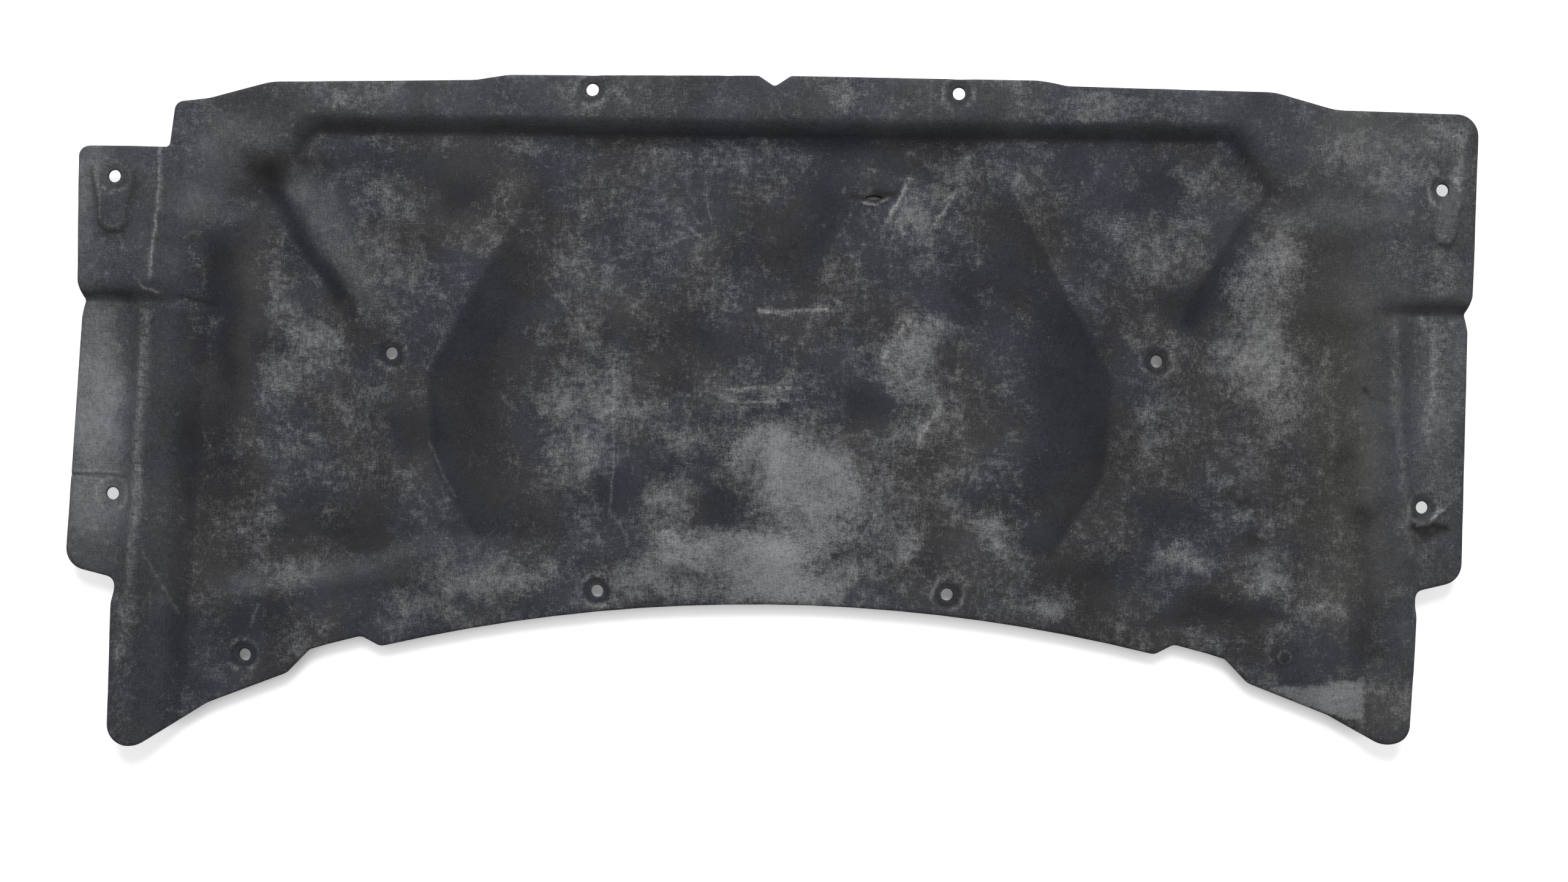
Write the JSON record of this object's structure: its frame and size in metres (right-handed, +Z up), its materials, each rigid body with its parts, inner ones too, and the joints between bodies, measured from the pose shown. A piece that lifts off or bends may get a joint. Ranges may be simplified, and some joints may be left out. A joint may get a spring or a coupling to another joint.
{
  "type": "hood insulation pad",
  "caption": "Moulded felt insulation pad for the underside of a car hood: raised flange, stepped bays, clip holes in shallow dishes, V notch at the front edge and an arched rear edge.",
  "frame": {"origin": "on the resting surface, below the middle of the pad's bounding box", "axes": "+X across the car, +Y towards the front edge of the hood, +Z up out of the engine-side face"},
  "size_m": [1.2976, 0.6231, 0.033],
  "materials": {
    "scrim_felt": "dusty black non-woven scrim over pressed needle felt"
  },
  "bodies": {
    "root": {"insulation_pad": "scrim_felt"}
  },
  "joints": []
}
